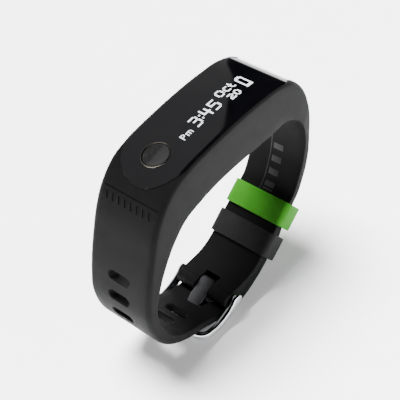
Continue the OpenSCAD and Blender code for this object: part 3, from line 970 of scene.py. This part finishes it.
def raised_strip(name, t, y, proud=0.05):
    """A low raised bar on the wrist side, from one place to another along and across it."""
    rings = []
    steps = max(2, int((t[1] - t[0]) * 24))
    width = y[1] - y[0]
    for k in range(steps + 1):
        place = t[0] + (t[1] - t[0]) * k / steps
        lift = proud * (0.35 if k in (0, steps) else 1)
        rings.append([
            wrist_point(place, y[0], -0.15), wrist_point(place, y[0], lift * 0.6),
            wrist_point(place, y[0] + min(0.08, width / 4), lift),
            wrist_point(place, y[1] - min(0.08, width / 4), lift),
            wrist_point(place, y[1], lift * 0.6), wrist_point(place, y[1], -0.15),
        ])
    # The marks carry a painted sheen: their silicone is coloured lighter than the band's.
    piece = swept(name, rings, polish_and_painted_sheen_silicone)
    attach(piece, "band")


build_wristband()
build_window()
build_button()
build_end_strip()
build_readout()
strap_loop("black_keeper", -4.1, keeper_silicone_painted_lighter, "keeper", "keeper")
strap_loop("green_loop", 4.7, green_silicone, "free_loop", "free_loop")
build_frame()
build_tongue()
raised_strip("strap_line", (5.6, 9.6), (1.62, 1.92))
for number in range(5):
    start = 6.35 + 0.6 * number
    raised_strip(f"strap_rib_{number}", (start, start + 0.28), (-2.1, 1.0))

# ---- floor and light -------------------------------------------------------------------


def paper_floor():
    material, tree = new_material("white_paper")
    fibre = grain(tree, 8.0, 4.0)
    colour = blend_colours(tree, fibre.outputs["Fac"], "#f3f3f4", "#f7f7f8")
    shader = add(
        tree, "ShaderNodeBsdfPrincipled", [(colour.outputs["Color"], "Base Color")],
        in_Roughness=0.9, in_Specular_IOR_Level=0.1,
    )
    close_material(tree, shader)
    mesh = bpy.data.meshes.new("floor")
    form = bmesh.new()
    bmesh.ops.create_grid(form, x_segments=1, y_segments=1, size=3)
    form.to_mesh(mesh)
    form.free()
    mesh.materials.append(material)
    floor = bpy.data.objects.new("floor", mesh)
    bpy.context.scene.collection.objects.link(floor)


def soft_light(name, at_mm, aim_mm, size_mm, watts):
    data = bpy.data.lights.new(name, "AREA")
    data.shape = "RECTANGLE"
    data.size, data.size_y = size_mm[0] * MM, size_mm[1] * MM
    data.energy = watts
    light = bpy.data.objects.new(name, data)
    bpy.context.scene.collection.objects.link(light)
    at, target = Vector(at_mm) * MM, Vector(aim_mm) * MM
    light.location = at
    light.rotation_mode = "QUATERNION"
    light.rotation_quaternion = (target - at).to_track_quat("-Z", "Y")
    return light


paper_floor()
# A white screen fills the far part of the sky. The near part is dark, and the polished
# window shows the edge between them.
SCREEN_WAY, SCREEN_EDGE = (-0.0475, 1, 0), 0.5546
SCREEN_GLOW, DARK_GLOW, HORIZON_GLOW = 0.46, 0.0, 2.5
KEY_WAY, KEY_STRENGTH, KEY_SOFT = (-60, -170, -580), 19.0, 32

world = bpy.data.worlds.new("studio")
world.use_nodes = True
tree = world.node_tree
tree.nodes.clear()
sky = add(tree, "ShaderNodeTexCoord")
toward = add(tree, "ShaderNodeVectorMath", [(sky.outputs["Generated"], 0)],
             operation="DOT_PRODUCT")
toward.inputs[1].default_value = Vector(SCREEN_WAY).normalized()
glow = add(tree, "ShaderNodeMapRange", [(toward.outputs["Value"], "Value")],
           in_From_Min=SCREEN_EDGE - 0.001, in_From_Max=SCREEN_EDGE + 0.001,
           in_To_Min=DARK_GLOW, in_To_Max=SCREEN_GLOW)
height = add(tree, "ShaderNodeSeparateXYZ", [(sky.outputs["Generated"], "Vector")])
horizon = add(tree, "ShaderNodeMapRange", [(height.outputs["Z"], "Value")],
              in_From_Min=0.02, in_From_Max=0.07, in_To_Min=HORIZON_GLOW, in_To_Max=0.0)
brighter = add(tree, "ShaderNodeMath",
               [(glow.outputs["Result"], 0), (horizon.outputs["Result"], 1)], operation="MAXIMUM")
background = add(tree, "ShaderNodeBackground", [(brighter.outputs[0], "Strength")],
                 in_Color=shade("#ffffff"))
add(tree, "ShaderNodeOutputWorld", [(background.outputs[0], "Surface")])
bpy.context.scene.world = world
key_data = bpy.data.lights.new("key", "SUN")
key_data.energy, key_data.angle = KEY_STRENGTH, math.radians(KEY_SOFT)
key = bpy.data.objects.new("key", key_data)
bpy.context.scene.collection.objects.link(key)
key.rotation_mode = "QUATERNION"
key.rotation_quaternion = Vector(KEY_WAY).to_track_quat("-Z", "Y")
near_fill = soft_light("near_fill", (60, -440, 90), (0, 0, 35), (300, 120), 5)
key.visible_glossy = near_fill.visible_glossy = False
